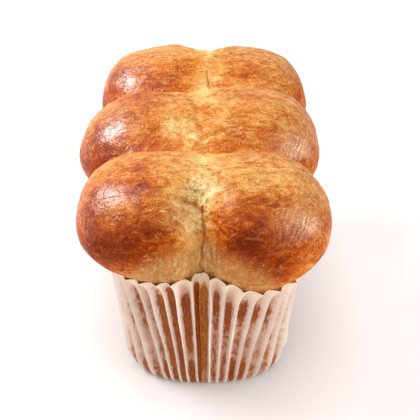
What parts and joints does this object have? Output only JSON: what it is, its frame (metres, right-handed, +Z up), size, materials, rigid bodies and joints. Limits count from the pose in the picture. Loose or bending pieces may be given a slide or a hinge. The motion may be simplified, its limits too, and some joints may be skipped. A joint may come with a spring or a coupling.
{
  "type": "brioche loaf",
  "caption": "Golden glazed brioche loaf of paired dough balls in rows, risen over an oblong fluted greaseproof paper case.",
  "frame": {"origin": "middle of the loaf's footprint, on the flat bottom of the paper case", "axes": "+Z up, +Y along the length of the loaf from the front end to the back end"},
  "size_m": [0.12, 0.1896, 0.1172],
  "materials": {
    "golden_crust": "egg-washed baked crust, semi-gloss",
    "greaseproof_paper": "thin fluted greaseproof paper, satin"
  },
  "bodies": {
    "root": {"brioche": "golden_crust", "paper_case": "greaseproof_paper"}
  },
  "joints": []
}
